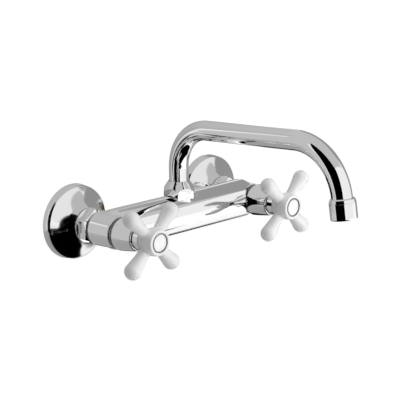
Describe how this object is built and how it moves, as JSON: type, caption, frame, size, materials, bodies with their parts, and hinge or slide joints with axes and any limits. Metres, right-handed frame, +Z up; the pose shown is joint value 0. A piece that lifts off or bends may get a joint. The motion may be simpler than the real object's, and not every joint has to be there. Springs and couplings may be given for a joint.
{
  "type": "wall-mounted kitchen faucet",
  "caption": "Wall-mounted kitchen faucet: a chrome bridging body on wall unions, white cross handles on quarter-turn valves and a swivelling bent spout with an aerator.",
  "frame": {"origin": "midway between the two wall threads, on the wall's surface", "axes": "+Y into the wall, +Z up, +X to the right as the user faces the wall"},
  "size_m": [0.2104, 0.2431, 0.1146],
  "materials": {
    "chrome": "polished chrome plate",
    "handle_white": "glossy white",
    "button_white": "glossy white",
    "brass": "turned",
    "headwork_brass": "nickel-plated, turned",
    "steel": "plain stainless",
    "rubber": "matte black",
    "disc_ceramic": "lapped white ceramic",
    "insert_plastic": "moulded pale grey",
    "bearing_plastic": "moulded natural white"
  },
  "bodies": {
    "faucet_body": {"mixer_body": "chrome", "spout_nut": "chrome", "slip_ring": "bearing_plastic", "hot_eccentric_union": "brass", "hot_wall_flange": "chrome", "hot_coupling_nut": "chrome", "hot_inlet_washer": "rubber", "hot_inlet_tail": "brass", "hot_headwork_gasket": "rubber", "hot_headwork_body": "headwork_brass", "hot_seat_seal": "rubber", "hot_fixed_disc": "disc_ceramic", "hot_bell": "chrome", "cold_eccentric_union": "brass", "cold_wall_flange": "chrome", "cold_coupling_nut": "chrome", "cold_inlet_washer": "rubber", "cold_inlet_tail": "brass", "cold_headwork_gasket": "rubber", "cold_headwork_body": "headwork_brass", "cold_seat_seal": "rubber", "cold_fixed_disc": "disc_ceramic", "cold_bell": "chrome"},
    "hot_handle": {"hot_rotating_disc": "disc_ceramic", "hot_spindle": "brass", "hot_spindle_o_ring": "rubber", "hot_handle_ferrule": "chrome", "hot_cross_handle": "handle_white", "hot_handle_screw": "steel", "hot_index_ring": "chrome", "hot_index_button": "button_white"},
    "cold_handle": {"cold_rotating_disc": "disc_ceramic", "cold_spindle": "brass", "cold_spindle_o_ring": "rubber", "cold_handle_ferrule": "chrome", "cold_cross_handle": "handle_white", "cold_handle_screw": "steel", "cold_index_ring": "chrome", "cold_index_button": "button_white"},
    "spout": {"swivel_end": "brass", "swivel_o_rings": "rubber", "spout_tube": "chrome", "outlet_ferrule": "chrome", "aerator_washer": "rubber", "aerator_housing": "chrome", "aerator_insert": "insert_plastic"}
  },
  "joints": [
    {"name": "hot_valve", "type": "hinge", "parent": "faucet_body", "child": "hot_handle", "pos_m": [-0.075, -0.0565, 0.0075], "axis": [0, -1, 0], "range_deg": [0, 90]},
    {"name": "cold_valve", "type": "hinge", "parent": "faucet_body", "child": "cold_handle", "pos_m": [0.075, -0.0565, 0.0075], "axis": [0, 1, 0], "range_deg": [0, 90]},
    {"name": "spout_swivel", "type": "hinge", "parent": "faucet_body", "child": "spout", "pos_m": [0, -0.045, 0.0275], "axis": [0, 0, 1], "range_deg": [-100, 100]}
  ]
}
